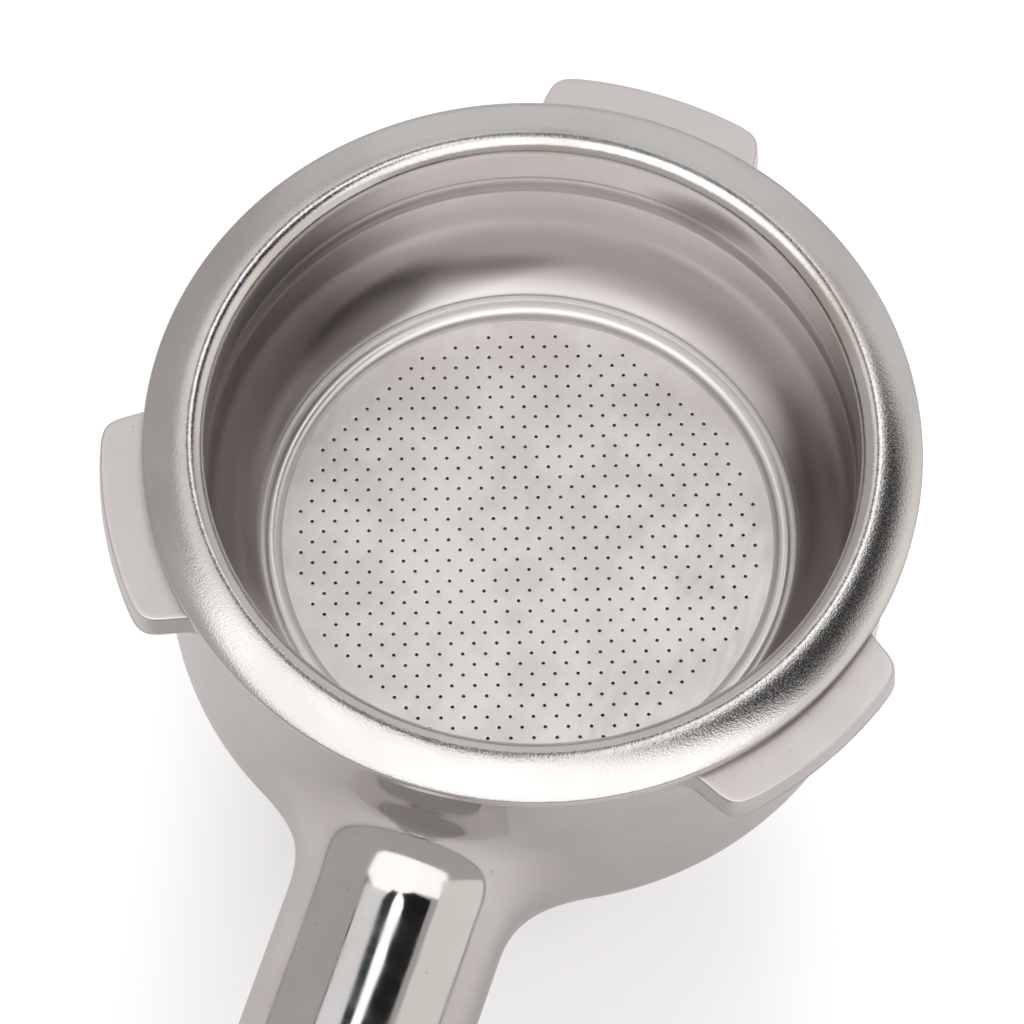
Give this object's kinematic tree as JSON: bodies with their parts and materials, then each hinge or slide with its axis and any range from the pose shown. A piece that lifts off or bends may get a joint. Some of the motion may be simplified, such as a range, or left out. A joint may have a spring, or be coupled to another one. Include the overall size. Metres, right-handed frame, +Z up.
{
  "type": "portafilter",
  "caption": "Espresso portafilter: round cup with bayonet lugs, lift-out perforated basket, round metal arm, turned grip and screwed double spout.",
  "frame": {"origin": "on the cup's axis, in the plane where the basket's rim sits on the cup", "axes": "+Z up along the cup's axis, the handle runs along -Y, one lug points along +Y, +X to the right seen from the handle"},
  "size_m": [0.0646, 0.2155, 0.0562],
  "materials": {
    "polished_casting": "mirror-polished plated casting",
    "polished_trim": "polished",
    "basket_steel": "satin drawn stainless sheet with a polished rim",
    "spring_wire": "bright drawn wire",
    "threaded_steel": "zinc-plated",
    "insert_brass": "machined",
    "grip_plastic": "moulded, semi-gloss",
    "gasket_rubber": "matt"
  },
  "bodies": {
    "holder": {"holder_body": "polished_casting", "basket_spring": "spring_wire", "handle_stud": "threaded_steel", "handle_washer": "threaded_steel", "handle_ferrule": "polished_trim", "handle_insert": "insert_brass", "handle_grip": "grip_plastic", "end_cap": "polished_trim", "end_cap_screw": "threaded_steel"},
    "basket": {"filter_basket": "basket_steel", "basket_floor": "basket_steel"},
    "gasket": {"spout_gasket": "gasket_rubber"},
    "spout": {"double_spout": "polished_casting"}
  },
  "joints": [
    {"name": "basket_lift", "type": "slide", "parent": "holder", "child": "basket", "axis": [0, 0, 1], "range_m": [0, 0.022]},
    {"name": "gasket_drop", "type": "slide", "parent": "holder", "child": "gasket", "axis": [0, 0, -1], "range_m": [0, 0.00669]},
    {"name": "spout_turn", "type": "hinge", "parent": "gasket", "child": "spout", "pos_m": [0, 0, -0.04], "axis": [0, 0, -1], "range_deg": [0, 1800]}
  ],
  "couplings": [
    {"joint": "gasket_drop", "follows": "spout_turn", "m_per_rad": 0.00021279}
  ]
}
